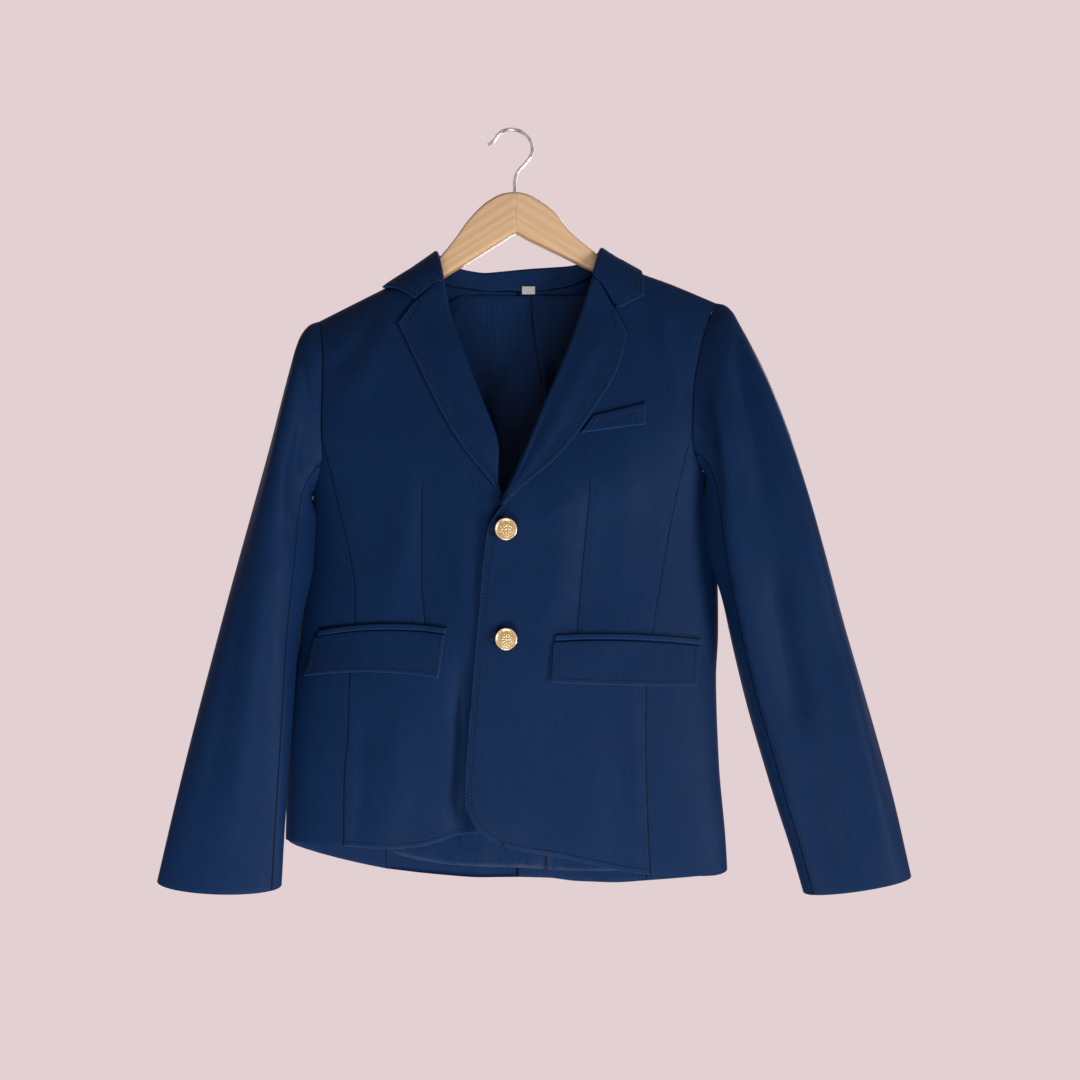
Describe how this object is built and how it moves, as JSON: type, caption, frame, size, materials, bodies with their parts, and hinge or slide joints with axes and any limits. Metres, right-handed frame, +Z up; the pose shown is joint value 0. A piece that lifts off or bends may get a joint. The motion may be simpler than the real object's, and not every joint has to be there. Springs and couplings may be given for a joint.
{
  "type": "school blazer on a wooden hanger",
  "caption": "School blazer with notched lapels, metal buttons, chest welt and flap pockets, hanging buttoned on a plain wooden hanger with a bent wire hook.",
  "frame": {"origin": "inner top of the hook's bend, where it bears on the rail that holds it up", "axes": "+X to the wearer's left, -Y to the garment's front, +Z up"},
  "size_m": [0.7009, 0.0797, 0.7259],
  "materials": {
    "navy_wool": "fine twill with a slight sheen",
    "satin_lining": "satin",
    "white_label": "matte",
    "gold_metal": "polished, pale gold",
    "beech_wood": "satin varnish",
    "steel_wire": "polished"
  },
  "bodies": {
    "root": {"front_left": "navy_wool", "front_right": "navy_wool", "side_left": "navy_wool", "side_right": "navy_wool", "back_left": "navy_wool", "back_right": "navy_wool", "sleeve_top_left": "navy_wool", "sleeve_under_left": "navy_wool", "sleeve_top_right": "navy_wool", "sleeve_under_right": "navy_wool", "collar": "navy_wool", "lapel_left": "navy_wool", "lapel_right": "navy_wool", "chest_welt": "navy_wool", "pocket_welt_left": "navy_wool", "pocket_welt_right": "navy_wool", "flap_left": "navy_wool", "flap_right": "navy_wool", "lining_back": "satin_lining", "neck_label": "white_label", "button_upper": "gold_metal", "button_lower": "gold_metal", "hanger_wood": "beech_wood", "hanger_hook": "steel_wire"}
  },
  "joints": []
}
